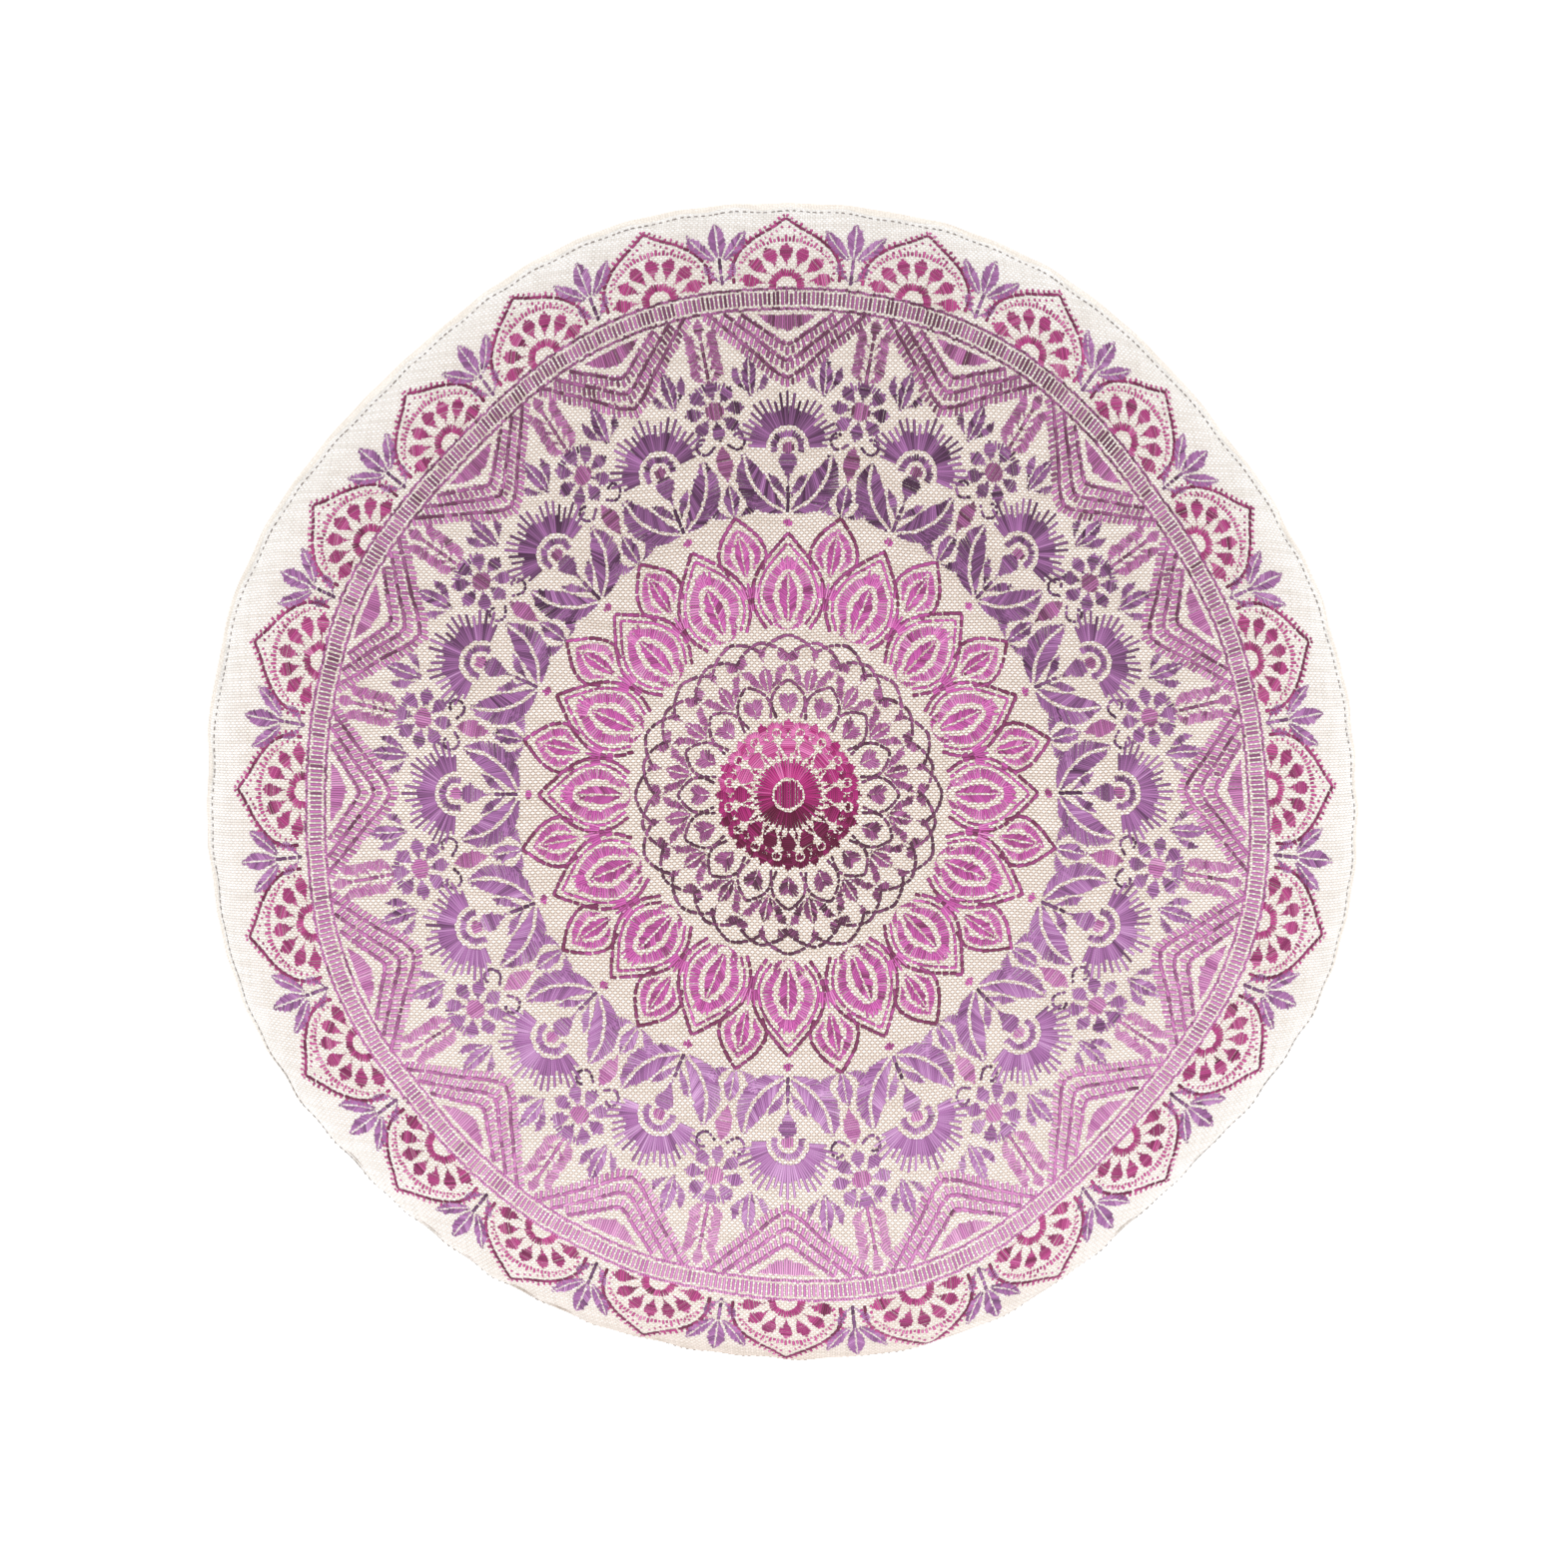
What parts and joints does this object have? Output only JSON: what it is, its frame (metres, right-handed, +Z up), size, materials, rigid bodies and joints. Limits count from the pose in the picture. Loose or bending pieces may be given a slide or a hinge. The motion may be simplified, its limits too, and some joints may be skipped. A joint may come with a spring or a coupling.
{
  "type": "zafu meditation cushion",
  "caption": "Round, firmly filled floor cushion in cream canvas, with a crowned embroidered top panel, a side band and a plain underside.",
  "frame": {"origin": "middle of the part's box on the plane it lies on, under the crown", "axes": "+Z up through the crown, +Y towards the side where the top seam rides highest, which is the picture's top, +X towards the picture's right"},
  "size_m": [0.3998, 0.4016, 0.134],
  "materials": {
    "embroidered_canvas": "matt natural cotton canvas in a coarse basket weave, the ground of the embroidery",
    "plain_canvas": "matt natural cotton canvas in a coarse basket weave, bare",
    "magenta_thread": "satin embroidery thread, crimson magenta",
    "pink_thread": "satin embroidery thread, orchid pink",
    "purple_thread": "satin embroidery thread, shaded from plum to lilac"
  },
  "bodies": {
    "root": {"top_panel": "embroidered_canvas", "side_band": "plain_canvas", "bottom_panel": "plain_canvas"}
  },
  "joints": []
}
